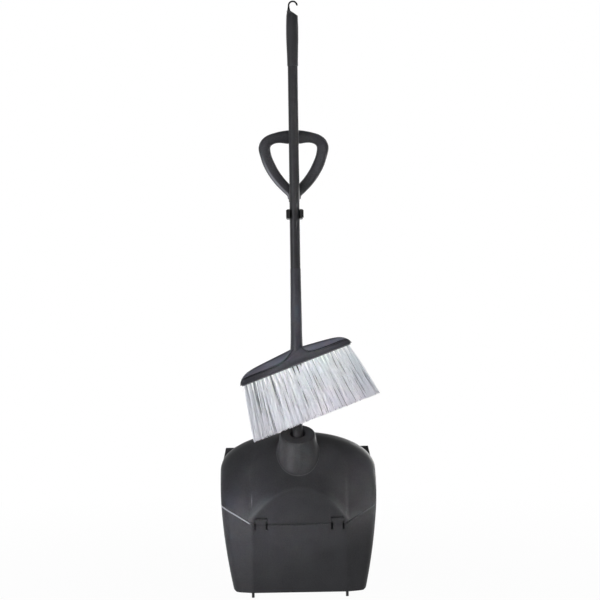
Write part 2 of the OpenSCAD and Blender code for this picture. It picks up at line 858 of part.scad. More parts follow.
module bristle_row(row) {
    y = row * row_pitch;
    color(pale) tilted() {
        translate([-bristle_half, y - row_depth / 2, -slice_t]) cube([2 * bristle_half, row_depth, slice_t]);
        for (line = [-1, 1], i = [0:strand_count - 1]) {
            f = (2 * (i + 0.5 + line / 4) / strand_count - 1) * (1 - strand_r / bristle_half * 2);
            strand(f * bristle_half, f * (bristle_half + bristle_flare), y + line * line_pitch / 2,
                y + line * line_pitch / 2);
        }
    }
}

module hinge_pin_left() { mirror([1, 0, 0]) hinge_pin(); }
module lifter_rod_left() { mirror([1, 0, 0]) lifter_rod(); }

pan_tray();
hood();
lid();
hinge_pin_left();
hinge_pin();  // hinge_pin_right
lifter_rod_left();
lifter_rod();  // lifter_rod_right
hood_screws();
neck_bush();
tube_plug();
handle_tube();
handle_screw();
grip_loop();
grip_pin();
broom_clip();
clip_screw();
broom_tube();
broom_grip();
hanger_cap();
broom_tip();
broom_head();
bristle_row(-1);  // bristles_front
bristle_row(0);  // bristles_middle
bristle_row(1);  // bristles_back
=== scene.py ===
"""Looks of a hooded lobby dustpan with a clip-on angled broom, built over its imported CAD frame."""

import math
import random

import bmesh
import bpy
from mathutils import Matrix, Vector


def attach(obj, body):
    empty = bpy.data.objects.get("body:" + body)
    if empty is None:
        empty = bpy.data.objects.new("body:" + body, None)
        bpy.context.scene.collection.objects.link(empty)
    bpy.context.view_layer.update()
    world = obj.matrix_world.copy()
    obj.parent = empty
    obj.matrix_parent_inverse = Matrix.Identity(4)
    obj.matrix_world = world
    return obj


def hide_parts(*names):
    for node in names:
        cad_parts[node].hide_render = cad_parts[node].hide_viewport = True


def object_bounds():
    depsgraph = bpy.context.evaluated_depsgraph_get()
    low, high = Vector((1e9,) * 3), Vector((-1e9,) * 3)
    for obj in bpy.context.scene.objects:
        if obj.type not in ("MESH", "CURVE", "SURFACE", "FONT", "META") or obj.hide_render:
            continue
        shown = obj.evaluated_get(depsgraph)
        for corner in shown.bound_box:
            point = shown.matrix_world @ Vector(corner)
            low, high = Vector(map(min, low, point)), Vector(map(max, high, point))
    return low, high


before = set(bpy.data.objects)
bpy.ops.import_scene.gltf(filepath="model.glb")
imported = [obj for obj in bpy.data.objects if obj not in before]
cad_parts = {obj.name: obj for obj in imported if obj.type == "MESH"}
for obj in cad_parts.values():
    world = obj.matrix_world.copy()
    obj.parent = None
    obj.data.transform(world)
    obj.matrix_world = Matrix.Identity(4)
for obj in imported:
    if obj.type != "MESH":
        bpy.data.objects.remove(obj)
cad_low, cad_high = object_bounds()
scene = bpy.context.scene
scene.view_settings.view_transform = "Standard"

# The camera stands level, about three metres off and a little to the left of the pan's front, with a
# short telephoto lens. It leans by under a degree, as the picture does.
view_distance = 2.950
view_side = 0.0085
view_height = 0.573
view_turn = math.radians(-1.0)
view_roll = math.radians(0.8)
face_y = -0.072
camera_data = bpy.data.cameras.new("studio_camera")
camera_data.lens = 90.3
camera_data.sensor_width = 36
camera = bpy.data.objects.new("studio_camera", camera_data)
view_place = Vector((view_side, face_y - view_distance, view_height))
camera.location = Matrix.Rotation(view_turn, 3, "Z") @ view_place
camera.rotation_euler = (math.radians(90), view_roll, view_turn)
scene.collection.objects.link(camera)
scene.camera = camera


def linear(code):
    """An sRGB hex colour as linear red, green, blue and alpha."""
    parts = [int(code[i:i + 2], 16) / 255 for i in (1, 3, 5)]
    return [p / 12.92 if p <= 0.04045 else ((p + 0.055) / 1.055) ** 2.4 for p in parts] + [1]


def add_node(tree, kind, links=None, **settings):
    """Adds a node to a tree, with its settings, and its inputs as values or as sockets to link from."""
    node = tree.nodes.new(kind)
    for name, value in settings.items():
        setattr(node, name, value)
    for name, value in (links or {}).items():
        if isinstance(value, bpy.types.NodeSocket):
            tree.links.new(value, node.inputs[name])
        else:
            node.inputs[name].default_value = value
    return node


def seen_directly(tree):
    """A socket that is one for the eye, for reflections and through clear pieces, and nothing for light."""
    rays = add_node(tree, "ShaderNodeLightPath")
    seen = rays.outputs["Is Camera Ray"]
    for kind in ("Is Glossy Ray", "Is Transmission Ray"):
        either = add_node(tree, "ShaderNodeMath", {0: seen, 1: rays.outputs[kind]}, operation="MAXIMUM")
        seen = either.outputs[0]
    return seen


# The studio: a white surround under a darker ceiling, a large soft lamp at the left, weaker ones at the
# right and above, and one for the back. Narrow weak beams grade the pan from its seam outwards, and lift
# the broom and the poles.
# The surround shows white to the eye and to reflections, and lights the object less than that.
world = bpy.data.worlds.new("studio_surround")
scene.world = world
world.use_nodes = True
tree = world.node_tree
tree.nodes.clear()
level = add_node(tree, "ShaderNodeMapRange", {"Value": seen_directly(tree), "To Min": 0.4, "To Max": 1.0})
place = add_node(tree, "ShaderNodeTexCoord")
height = add_node(tree, "ShaderNodeSeparateXYZ", {"Vector": place.outputs["Generated"]})
ceiling = add_node(tree, "ShaderNodeMapRange",
                   {"Value": height.outputs["Z"], "From Min": 0.2, "From Max": 0.75,
                    "To Min": 1.0, "To Max": 0.2})
level = add_node(tree, "ShaderNodeMath", {0: level.outputs[0], 1: ceiling.outputs[0]}, operation="MULTIPLY")
surround = add_node(tree, "ShaderNodeBackground", {"Color": linear("#FFFFFF"), "Strength": level.outputs[0]})
add_node(tree, "ShaderNodeOutputWorld", {"Surface": surround.outputs[0]})


def soft_lamp(name, place, aim, size, power, beam=180, tint="#FFFFFF"):
    """A square studio lamp that points at a place, with a beam in degrees."""
    data = bpy.data.lights.new(name, "AREA")
    data.color = linear(tint)[:3]
    data.size = size
    data.energy = power
    data.spread = math.radians(beam)
    lamp = bpy.data.objects.new(name, data)
    lamp.location = place
    lamp.rotation_euler = (Vector(aim) - Vector(place)).to_track_quat("-Z", "Y").to_euler()
    scene.collection.objects.link(lamp)


cool = "#EDF0FF"
soft_lamp("left_lamp", (-2.1, -2.2, 0.6), (0, 0, 0.4), size=1.2, power=44, tint="#F9FAFF")
soft_lamp("right_lamp", (2.3, -1.5, 1.1), (0, 0, 0.4), size=1.2, power=5)
soft_lamp("top_lamp", (-0.3, -1.7, 2.2), (0, 0, 0.2), size=0.6, power=6)
soft_lamp("back_lamp", (1.5, 2.6, 1.0), (0, 0, 0.4), size=1.4, power=34)
soft_lamp("panel_lamp", (-0.3, -3.0, 0.25), (0, -0.07, 0.110), size=0.05, power=0.0072, beam=3.0, tint=cool)
soft_lamp("left_wing_lamp", (-2.2, -1.9, 0.3), (-0.135, -0.055, 0.145), size=0.06, power=0.038, beam=6,
          tint=cool)
soft_lamp("crease_lamp", (-1.4, -2.6, 0.3), (-0.107, -0.066, 0.166), size=0.03, power=0.020, beam=1.9,
          tint=cool)
soft_lamp("right_wing_lamp", (2.2, -1.6, 0.9), (0.146, -0.02, 0.182), size=0.06, power=0.048, beam=4.4)
soft_lamp("neck_lamp", (-0.8, -2.8, 0.3), (-0.008, -0.04, 0.262), size=0.04, power=0.0064, beam=2.4)
soft_lamp("broom_lamp", (-0.9, -2.8, 0.34), (0.02, -0.045, 0.435), size=0.06, power=0.15, beam=7.6)
soft_lamp("pole_lamp", (1.6, -2.3, 0.95), (0, -0.03, 0.88), size=0.1, power=0.24, beam=16)


def new_material(name):
    """A material with an empty node tree, and that tree."""
    material = bpy.data.materials.new(name)
    material.use_nodes = True
    material.node_tree.nodes.clear()
    return material, material.node_tree


# The floor is a plain white sheet. A small share of it is shaded near the pan, so that it keeps a light
# shadow, and further off it is plain white.
sheet_half = 60
sheet_drop = 0.0004
sheet = bmesh.new()
bmesh.ops.create_grid(sheet, x_segments=1, y_segments=1, size=sheet_half)
bmesh.ops.translate(sheet, verts=sheet.verts, vec=(0, 0, cad_low.z - sheet_drop))
floor_data = bpy.data.meshes.new("studio_floor")
sheet.to_mesh(floor_data)
sheet.free()
floor = bpy.data.objects.new("studio_floor", floor_data)
scene.collection.objects.link(floor)
paper, tree = new_material("white_paper")
place = add_node(tree, "ShaderNodeTexCoord")
away = add_node(tree, "ShaderNodeVectorMath", {0: place.outputs["Object"]}, operation="LENGTH")
plain = add_node(tree, "ShaderNodeMapRange",
                 {"Value": away.outputs["Value"], "From Min": 0.4, "From Max": 1.6,
                  "To Min": 0.97, "To Max": 1.0})
share = add_node(tree, "ShaderNodeMath", {0: seen_directly(tree), 1: plain.outputs[0]}, operation="MULTIPLY")
matt = add_node(tree, "ShaderNodeBsdfDiffuse", {"Color": linear("#D8D8D8")})
glow = add_node(tree, "ShaderNodeEmission", {"Color": linear("#FFFFFF"), "Strength": 1.0})
both = add_node(tree, "ShaderNodeMixShader", {0: share.outputs[0], 1: matt.outputs[0], 2: glow.outputs[0]})
add_node(tree, "ShaderNodeOutputMaterial", {"Surface": both.outputs[0]})
floor_data.materials.append(paper)


def finished(name, shape, material, body, nodes, rounding=0.0, angle=40):
    """Turns a bmesh into a piece that rides on a body and stands for CAD nodes, with softened edges."""
    data = bpy.data.meshes.new(name)
    shape.to_mesh(data)
    shape.free()
    data.materials.append(material)
    data.polygons.foreach_set("use_smooth", [True] * len(data.polygons))
    data.set_sharp_from_angle(angle=math.radians(angle))
    piece = bpy.data.objects.new(name, data)
    scene.collection.objects.link(piece)
    if rounding:
        bevel = piece.modifiers.new("soft_edges", "BEVEL")
        bevel.width = rounding
        bevel.segments = 2
        bevel.limit_method = "ANGLE"
        bevel.angle_limit = math.radians(angle)
        bevel.harden_normals = True
    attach(piece, body)
    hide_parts(*nodes)


def from_cad(node):
    """A merged copy of a CAD node's mesh, with its flat faces joined."""
    shape = bmesh.new()
    shape.from_mesh(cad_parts[node].data)
    bmesh.ops.remove_doubles(shape, verts=shape.verts, dist=0.00002)
    bmesh.ops.dissolve_limit(shape, angle_limit=math.radians(0.6), verts=shape.verts, edges=shape.edges)
    return shape


def plastic(name, code, grit_mm, grit_depth_mm, roughness, specular, mottle=0.25, marked=None):
    """A moulded plastic: an even colour with faint flow mottling, a fine grain, and another colour where
    the mesh is marked. The grain is drawn a few times coarser than it really is, so that it shows."""
    material, tree = new_material(name)
    place = add_node(tree, "ShaderNodeTexCoord")
    # Flow marks are a few centimetres wide and only just show
    flow = add_node(tree, "ShaderNodeTexNoise", {"Vector": place.outputs["Object"], "Scale": 22, "Detail": 3})
    grain = add_node(tree, "ShaderNodeTexNoise",
                     {"Vector": place.outputs["Object"], "Scale": 1000 / grit_mm, "Detail": 2})
    shade = add_node(tree, "ShaderNodeMix", {"Factor": 0.5, 2: flow.outputs["Fac"], 3: grain.outputs["Fac"]})
    base = linear(code)
    dark = [c * (1 - mottle) for c in base[:3]] + [1]
    light = [c * (1 + mottle) for c in base[:3]] + [1]
    ramp = add_node(tree, "ShaderNodeValToRGB", {"Fac": shade.outputs[0]})
    ramp.color_ramp.elements[0].position = 0.3
    ramp.color_ramp.elements[0].color = dark
    ramp.color_ramp.elements[1].position = 0.7
    ramp.color_ramp.elements[1].color = light
    rough = add_node(tree, "ShaderNodeMapRange",
                     {"Value": grain.outputs["Fac"], "From Min": 0.3, "From Max": 0.7,
                      "To Min": roughness - 0.05, "To Max": roughness + 0.05})
    bump = add_node(tree, "ShaderNodeBump",
                    {"Height": grain.outputs["Fac"], "Strength": 0.35, "Distance": grit_depth_mm / 1000})
    colour = ramp.outputs[0]
    if marked:
        mark = add_node(tree, "ShaderNodeAttribute", attribute_name="mark")
        mix = add_node(tree, "ShaderNodeMix", {"Factor": mark.outputs["Fac"], 6: colour, 7: linear(marked)},
                       data_type="RGBA")
        colour = mix.outputs[2]
    surface = add_node(tree, "ShaderNodeBsdfPrincipled",
                       {"Base Color": colour, "Roughness": rough.outputs[0], "IOR": 1.49,
                        "Specular IOR Level": specular, "Normal": bump.outputs[0]})
    add_node(tree, "ShaderNodeOutputMaterial", {"Surface": surface.outputs[0]})
    return material


# The tray is the pan's floor, side walls and tall rear wall, with flat-topped rear corners.
# It is moulded in charcoal polypropylene with a fine spark-eroded grain that gives a satin look.
# The grain is really about half a millimetre; it is drawn at 2.4 mm so that it shows.
# Marked places on the hood and lid are painted paler, as painted highlights and as painted light in the
# seam's gap.
pan_plastic = plastic("charcoal_polypropylene", "#363638", 2.4, 0.10, 0.46, 0.15, marked="#B4B4BA")
finished("tray_shell", from_cad("pan_tray"), pan_plastic, "pan", ["pan_tray"], 0.0006)


# The hood is one thin moulding over the tray: its lower edge follows the seam of the lid, and above
# a flat face that ends in an arc it leans back as a dome. It is screwed to the rear wall.
panel_half = 0.0926
floor_half = 0.130
widest_half = 0.156
widest_z = 0.232
rear_y = 0.118
wing_bend = math.radians(20)
crease_radius = 0.020
corner_radius = 0.024
hood_wall = 0.0028
hood_back = rear_y - hood_wall
hood_top = 0.304
rear_drop = 0.008
lean_power = 1.77
arc_z = 0.200
round_start = 0.180
crest_y = face_y + 0.130
seam_z = 0.1333
seam_rise = 0.035
seam_gap = 0.0022
crease_gap = 0.0025
wing_gap = 0.0009
arc_half = 0.085
arc_drop = 0.045
arc_soften = 0.0012
notch_inner = 0.06225
notch_outer = 0.08875
notch_top = 0.14745
crease_start = panel_half - crease_radius * math.tan(wing_bend / 2)
# The outline at this height gives the place across that sets the seam's height
plan_z = 0.150


def half_width(z):
    return widest_half - (widest_half - floor_half) * ((widest_z - z) / widest_z) ** 2


def plan(part, along, z, end_y):
    """A point of the right half of the body's outline: panel, crease, wing, corner, then side."""
    wide = half_width(z)
    run = (wide - corner_radius - panel_half + corner_radius * math.sin(wing_bend)) / math.cos(wing_bend)
    corner_x = wide - corner_radius
    corner_y = face_y + run * math.sin(wing_bend) + corner_radius * math.cos(wing_bend)

    def crease(turn):
        return crease_start + crease_radius * math.sin(turn), face_y + crease_radius * (1 - math.cos(turn))

    def corner(turn):
        return corner_x + corner_radius * math.sin(turn), corner_y - corner_radius * math.cos(turn)

    if part == "panel":
        return crease_start * along, face_y
    if part == "crease":
        return crease(wing_bend * along)
    if part == "corner":
        return corner(wing_bend + (math.pi / 2 - wing_bend) * along)
    if part == "side":
        return wide, corner_y + (end_y - corner_y) * along
    start = crease(wing_bend)
    end = corner(wing_bend)
    return start[0] + (end[0] - start[0]) * along, start[1] + (end[1] - start[1]) * along


def clamp(value):
    return max(0.0, min(1.0, value))


def smooth(value):
    return value * value * (3 - 2 * value)


def along_wing(x):
    """The share of the wing's seam that lies between the panel and a place."""
    seam_half = half_width(seam_z + seam_rise / 2)
    return clamp((abs(x) - panel_half) / (seam_half - panel_half))


def seam_height(x):
    return seam_z + seam_rise * along_wing(x)


def dome_half(z):
    if z <= widest_z:
        return half_width(z)
    rise = (z - widest_z) / (hood_top - widest_z)
    return widest_half * math.sqrt(1 - rise * rise)


def dome_front(z):
    return face_y + (crest_y - face_y) * (1 - ((hood_top - z) / (hood_top - arc_z)) ** (1 / lean_power))


def soft_max(a, b, width):
    near = max(width - abs(a - b), 0) / width
    return max(a, b) + near * near * width / 4


def lean_start(x):
    """The height at which the hood starts to lean back: an arc on the front face, then the seam."""
    return max(seam_height(x) + seam_gap, arc_z - arc_drop * (x / arc_half) ** 2)


def hood_point(part, along, z):
    low = min(z, widest_z)
    x, y = plan(part, along, low, hood_back)
    share = min(1.0, x / half_width(low))
    end_y = crest_y + (hood_back - crest_y) * along if part == "side" else crest_y
    start = lean_start(x)
    leaned = end_y - (end_y - y) * ((hood_top - z) / (hood_top - start)) ** (1 / lean_power)
    y = soft_max(leaned, y, arc_soften)
    round_y = end_y if part == "side" else crest_y - (crest_y - dome_front(z)) * math.sqrt(1 - share * share)
    y += (round_y - y) * smooth(clamp((z - round_start) / (hood_top - round_start)))
    drop = rear_drop * along * clamp((z - widest_z) / (hood_top - widest_z)) if part == "side" else 0.0
    return dome_half(z) * share, y, z - drop


def steps(count):
    return [i / count for i in range(count + 1)]


def across(stations):
    """Stations of the whole outline from the left end round the front to the right end."""
    left = [(-1, part, along) for part, along in reversed(stations)]
    return left + [(1, part, along) for part, along in stations if (part, along) != ("panel", 0.0)]


def skin(columns, rows, place, mark=None):
    """A sheet of faces that is mapped, and marked, column by column and row by row."""
    shape = bmesh.new()
    bmesh.ops.create_grid(shape, x_segments=len(columns) - 1, y_segments=len(rows) - 1, size=1)
    layer = shape.verts.layers.float.new("mark")
    for vert in shape.verts:
        i = round((vert.co.x + 1) / 2 * (len(columns) - 1))
        j = round((vert.co.y + 1) / 2 * (len(rows) - 1))
        vert.co = place(columns[i], rows[j])
        vert[layer] = mark(columns[i], rows[j]) if mark else 0.0
    return shape


notch_start = notch_inner / crease_start
notch_end = notch_outer / crease_start
panel_steps = [notch_start * f for f in steps(21)]
panel_steps += [notch_start + (notch_end - notch_start) * f for f in steps(9)[1:]] + [1.0]
hood_stations = [("panel", f) for f in panel_steps]
hood_stations += [("crease", f) for f in steps(5)[1:]]
hood_stations += [("wing", f) for f in steps(14)[1:]]
hood_stations += [("corner", f) for f in steps(12)[1:]]
hood_stations += [("side", f) for f in steps(24)[1:]]
hood_low = seam_z + seam_gap
crest_share = 0.998
hood_end = widest_z + (hood_top - widest_z) * crest_share
hood_heights = [hood_low + (notch_top - hood_low) * f for f in steps(5)]
hood_heights += [notch_top + (widest_z - notch_top) * f for f in steps(40)[1:]]
hood_heights += [widest_z + (hood_end - widest_z) * math.sin(math.pi / 2 * f) for f in steps(40)[1:]]


close_start = 0.2
close_run = 0.3


def hood_gap(x):
    """The gap over the lid: it is widest beside the hinges, where the lid's edge swings closest."""
    share = along_wing(x)
    if share == 0:
        return seam_gap
    return crease_gap + (wing_gap - crease_gap) * smooth(clamp((share - close_start) / close_run))


def hood_place(column, height):
    side, part, along = column
    x, y = plan(part, along, plan_z, hood_back)
    low = seam_height(x) + hood_gap(x)
    z = low + (hood_end - low) * (height - hood_low) / (hood_end - hood_low)
    x, y, z = hood_point(part, along, z)
    return side * x, y, z


def peak(value, centre, reach):
    """One at a centre, falling evenly to nothing at a reach from it."""
    return max(0.0, 1 - abs(value - centre) / reach)


arc_highlight = 0.03
arc_highlight_rise = 0.003
arc_highlight_reach = 0.005
slope_highlight = 0.045
slope_highlight_rise = 0.006
slope_highlight_reach = 0.016
slope_start = 0.045
slope_end = 0.1
slope_fade = 0.03
streak_highlight = 0.2
streak_column = (-1, "crease", 0.6)
streak_z = 0.178
streak_reach = 0.014


def hood_mark(column, height):
    """The arc's edge and the slopes beside it are painted a little paler as a painted highlight, with a
    painted highlight streak on the left crease.
    """
    x, _, z = hood_place(column, height)
    over = z - lean_start(abs(x))
    edge = peak(over, arc_highlight_rise, arc_highlight_reach)
    slope = peak(over, slope_highlight_rise, slope_highlight_reach) * clamp((abs(x) - slope_start) / slope_fade)
    wear_and_highlight = (arc_highlight * edge + slope_highlight * slope) * (1 - clamp((abs(x) - slope_end) / slope_fade))
    if column == streak_column:
        wear_and_highlight += streak_highlight * peak(z, streak_z, streak_reach)
    return wear_and_highlight


hood_columns = across(hood_stations)
hood = skin(hood_columns, hood_heights, hood_place, hood_mark)
# The last row ends a little below the crest, so a strip of faces joins its left half to its right half
hood.verts.ensure_lookup_table()
crest = hood.verts[-len(hood_columns):]
front = len(crest) // 2
for i in range(front - 1):
    hood.faces.new([crest[i], crest[i + 1], crest[-2 - i], crest[-1 - i]])
hood.faces.new([crest[front - 1], crest[front], crest[front + 1]])
pole_y = 0.0
neck_clear = 0.024
spare = 0.0001
gone = []
for face in hood.faces:
    middle = face.calc_center_median()
    if math.hypot(middle.x, middle.y - pole_y) < neck_clear and middle.y < crest_y:
        gone.append(face)
    if notch_inner - spare < abs(middle.x) < notch_outer + spare and middle.z < notch_top and middle.y < 0:
        gone.append(face)
bmesh.ops.delete(hood, geom=gone, context="FACES")
bmesh.ops.solidify(hood, geom=hood.faces[:], thickness=hood_wall)

# The neck is part of the hood: a cone round the handle with a slanted rim, a soft fillet at its foot
# and a wide hole for the handle's bush.
neck_foot = (0.051, 0.228)
neck_rim = (0.035, 0.306)
rim_slant = math.tan(math.radians(24))
rim_round = 0.0018
bore_radius = 0.016
bore_foot = 0.2058
fillet = 0.0032
fillet_highlight = 0.1
fillet_row = 2
foot_range = (0.2, 0.33)


def neck_radius(z):
    return neck_rim[0] + (neck_foot[0] - neck_rim[0]) * (neck_rim[1] - z) / (neck_rim[1] - neck_foot[1])


def hood_y(x, z):
    share = min(1.0, abs(x) / dome_half(z))
    along = share * half_width(min(z, widest_z)) / crease_start
    return hood_point("panel", along, z)[1]


def halving(low, high, holds):
    """The height between two others up to which a test holds."""
    for _ in range(40):
        z = (low + high) / 2
        if holds(z):
            low = z
        else:
            high = z
    return low


def dome_height(x, y):
    """The height of the dome's slope over a place."""
    return halving(arc_z * 0.8, hood_end, lambda z: abs(x) < dome_half(z) and hood_y(x, z) <= y)


def neck_column(turn):
    """The points of the neck at one turn, from the foot of the fillet over the rim and down the hole."""
    ahead = math.cos(turn)
    sine = math.sin(turn)

    def at(radius, z):
        return Vector((radius * sine, -radius * ahead, z))

    def under_dome(z):
        radius = neck_radius(z)
        return dome_height(radius * sine, -radius * ahead) > z

    foot_z = halving(foot_range[0], foot_range[1], under_dome)
    foot_r = neck_radius(foot_z)
    foot = at(foot_r, foot_z)
    out_r = foot_r + fillet
    outer = at(out_r, dome_height(out_r * sine, -out_r * ahead))
    upper = at(neck_radius(foot_z + fillet), foot_z + fillet)
    column = [outer + (foot - outer) * 2 * f * (1 - f) + (upper - outer) * f * f for f in steps(6)]
    rim_z = neck_rim[1]
    for _ in range(20):
        rim_z = neck_rim[1] - neck_radius(rim_z) * ahead * rim_slant
    rim_r = neck_radius(rim_z)
    top = rim_z - rim_round
    for f in steps(10)[1:]:
        z = foot_z + fillet + (top - foot_z - fillet) * f
        column.append(at(neck_radius(z), z))
    for f in steps(4)[1:]:
        bend = math.pi / 2 * f
        radius = rim_r - rim_round * (1 - math.cos(bend))
        lift = rim_round * (1 - math.sin(bend))
        column.append(at(radius, neck_rim[1] - radius * ahead * rim_slant - lift))
    inner = bore_radius + rim_round
    for f in steps(4)[1:]:
        radius = rim_r - rim_round + (inner - rim_r + rim_round) * f
        column.append(at(radius, neck_rim[1] - radius * ahead * rim_slant))
    for f in steps(4)[1:]:
        bend = math.pi / 2 * f
        radius = inner - rim_round * math.sin(bend)
        lift = rim_round * (1 - math.cos(bend))
        column.append(at(radius, neck_rim[1] - radius * ahead * rim_slant - lift))
    end = column[-1].z
    column += [at(bore_radius, end + (bore_foot - end) * f) for f in steps(6)[1:]]
    return column


turns = [2 * math.pi * f for f in steps(72)]
neck_columns = {turn: neck_column(turn) for turn in turns}
neck_rows = list(range(len(neck_columns[turns[0]])))


def neck_place(turn, row):
    return neck_columns[turn][row]


# One row round the fillet is painted paler, a painted highlight along the neck's foot.
def neck_mark(turn, row):
    return fillet_highlight if row == fillet_row else 0.0


def seal(shape, ends=False):
    """Merges a skin's meeting edges, closes its ends where asked, and turns its faces outwards."""
    bmesh.ops.remove_doubles(shape, verts=shape.verts, dist=0.00001)
    if ends:
        bmesh.ops.holes_fill(shape, edges=[e for e in shape.edges if e.is_boundary], sides=0)
    bmesh.ops.recalc_face_normals(shape, faces=shape.faces)
    return shape


neck = seal(skin(turns, neck_rows, neck_place, neck_mark))


def join(target, *others):
    """Adds the faces of other bmeshes to one, and frees them."""
    for other in others:
        data = bpy.data.meshes.new("joined")
        other.to_mesh(data)
        other.free()
        target.from_mesh(data)
        bpy.data.meshes.remove(data)
    return target


def slab(outline, low, high):
    """A side profile, given in y and z, drawn out along x between two places."""
    shape = bmesh.new()
    base = shape.faces.new([shape.verts.new((low, y, z)) for y, z in outline])
    moved = bmesh.ops.extrude_face_region(shape, geom=[base])["geom"]
    raised = [g for g in moved if isinstance(g, bmesh.types.BMVert)]
    bmesh.ops.translate(shape, verts=raised, vec=(high - low, 0, 0))
    bmesh.ops.recalc_face_normals(shape, faces=shape.faces)
    return shape


def slab_pair(outline, inner, outer):
    """A slab on the right, and its like on the left."""
    return [slab(outline, inner, outer), slab(outline, -outer, -inner)]


# Behind the seam a thin lip of the hood keeps dust out, broken only by the hinges. Beside them it is a
# short piece on each side.
lip_gap = 0.0005
lip_end = notch_inner - lip_gap
lip_painted_light = 0.03
lip_y = face_y + 0.0034
lip_thick = 0.0016
lip_foot = seam_z - 0.006
lip_top = hood_low + 0.005
lip_outline = [(face_y + hood_wall / 2, hood_low), (face_y + hood_wall / 2, lip_top),
               (lip_y + lip_thick, lip_top - lip_thick), (lip_y + lip_thick, lip_foot), (lip_y, lip_foot),
               (lip_y, hood_low)]
lips = [slab(lip_outline, -lip_end, lip_end)]
lips += slab_pair(lip_outline, notch_outer + lip_gap, panel_half - lip_gap)
# The lips are painted a little paler: painted light in the shaded gap behind the seam.
for lip in lips:
    layer = lip.verts.layers.float.new("mark")
    for vert in lip.verts:
        vert[layer] = lip_painted_light
finished("hood_shell", join(hood, neck, *lips), pan_plastic, "pan", ["hood"], 0.0005, 50)

# The lid is a thin moulding over the mouth: a flat panel, two wings that wrap round the sides, and two
# hinge straps whose barrels turn on pins inside the hood's notches.
lid_wall = 0.0026
lid_end = face_y + 0.052
strap_inner = 0.06575
strap_outer = 0.08525
slot_foot = 0.1225
barrel = 0.0055
hinge_y = face_y + barrel
hinge_z = 0.14045
inner_share = strap_inner / crease_start
outer_share = strap_outer / crease_start
lid_panel = [notch_start * f for f in steps(14)] + [inner_share]
lid_panel += [inner_share + (outer_share - inner_share) * f for f in steps(6)[1:]] + [notch_end, 1.0]
lid_stations = [("panel", f) for f in lid_panel]
lid_stations += [("crease", f) for f in steps(6)[1:]]
lid_stations += [("wing", f) for f in steps(10)[1:]]
lid_stations += [("corner", f) for f in steps(14)[1:]]
lid_stations += [("side", f) for f in steps(5)[1:]]
slot_share = slot_foot / seam_z
lid_rows = [slot_share * f for f in steps(24)]
# The last two rows bound the painted highlight along the edge
lid_rows += [slot_share + (1 - slot_share) * f for f in (0.4, 0.8, 0.87, 1.0)]
wing_cut_y = face_y + 0.024
wing_cut_height = 0.012
wing_cut_rise = wing_cut_height / (lid_end - wing_cut_y)
left_edge_highlight = 1.0
right_edge_highlight = 0.08


def lid_place(column, row):
    side, part, along = column
    x, y = plan(part, along, plan_z, lid_end)
    top = seam_height(x)
    low = max(0.0, y - wing_cut_y) * wing_cut_rise
    z = low + (top - low) * row
    x, y = plan(part, along, z, lid_end)
    return side * x, y, z


def lid_mark(column, row):
    """The wings' upper edges are painted pale as a painted highlight, more so on the left, where the light
    falls.
    """
    side, part, _ = column
    if row < lid_rows[-2] or part not in ("wing", "corner"):
        return 0.0
    return left_edge_highlight if side < 0 else right_edge_highlight


lid = skin(across(lid_stations), lid_rows, lid_place, lid_mark)
gone = []
for face in lid.faces:
    middle = face.calc_center_median()
    across_x = abs(middle.x)
    in_slot = notch_inner < across_x < strap_inner or strap_outer < across_x < notch_outer
    if in_slot and middle.z > slot_foot and middle.y < 0:
        gone.append(face)
bmesh.ops.delete(lid, geom=gone, context="FACES")
bmesh.ops.solidify(lid, geom=lid.faces[:], thickness=lid_wall)


def bowed(y, z, radius, degrees):
    """Points of a circle in y and z, at angles in degrees."""
    return [(y + radius * math.cos(math.radians(a)), z + radius * math.sin(math.radians(a))) for a in degrees]


strap_lap = 0.002
strap_slope = 0.001
strap_back = face_y + lid_wall
strap_outline = [(face_y, seam_z - strap_lap), (face_y, hinge_z), (hinge_y, hinge_z),
                 (strap_back, seam_z - strap_slope), (strap_back, seam_z - strap_lap)]
knuckle = bowed(hinge_y, hinge_z, barrel, range(0, 360, 10))
knuckle_gap = 0.0007
# A tail beside each hinge is what the lifter rod's wedge pushes
tail_y = -0.05873
tail_z = 0.13501
tail_radius = 0.0015
tail_outer = 0.0981
tail_root_high = 0.0095
tail_root_low = 0.0125
tail_outline = bowed(tail_y, tail_z, tail_radius, range(-90, 91, 15))
tail_outline += [(strap_back, hinge_z - tail_root_high), (strap_back, hinge_z - tail_root_low)]
straps = slab_pair(strap_outline, strap_inner, strap_outer)
straps += slab_pair(knuckle, notch_inner + knuckle_gap, notch_outer - knuckle_gap)
straps += slab_pair(tail_outline, panel_half, tail_outer)
finished("lid_shell", join(lid, *straps), pan_plastic, "lid", ["lid"], 0.0006, 50)

# The screws are plain zinc-plated steel; the lid's hinge pins and the lifter rods are blacked steel.
# They keep the CAD's turned shapes, with a small chamfer on each end.
zinc, tree = new_material("zinc_plated_steel")
place = add_node(tree, "ShaderNodeTexCoord")
# Plating spangle is about a millimetre across
spangle = add_node(tree, "ShaderNodeTexNoise", {"Vector": place.outputs["Object"], "Scale": 900, "Detail": 2})
rough = add_node(tree, "ShaderNodeMapRange",
                 {"Value": spangle.outputs["Fac"], "To Min": 0.25, "To Max": 0.45})
surface = add_node(tree, "ShaderNodeBsdfPrincipled",
                   {"Base Color": linear("#A9ABAE"), "Metallic": 1.0, "Roughness": rough.outputs[0]})
add_node(tree, "ShaderNodeOutputMaterial", {"Surface": surface.outputs[0]})

black_steel, tree = new_material("blacked_steel")
place = add_node(tree, "ShaderNodeTexCoord")
# Handling rubs the black thin in patches of a few millimetres
wear_and_highlight = add_node(tree, "ShaderNodeTexNoise", {"Vector": place.outputs["Object"], "Scale": 260, "Detail": 4})
ramp = add_node(tree, "ShaderNodeValToRGB", {"Fac": wear_and_highlight.outputs["Fac"]})
ramp.color_ramp.elements[0].color = linear("#101011")
ramp.color_ramp.elements[1].color = linear("#2A2A2B")
surface = add_node(tree, "ShaderNodeBsdfPrincipled",
                   {"Base Color": ramp.outputs[0], "Metallic": 0.3, "Roughness": 0.5})
add_node(tree, "ShaderNodeOutputMaterial", {"Surface": surface.outputs[0]})

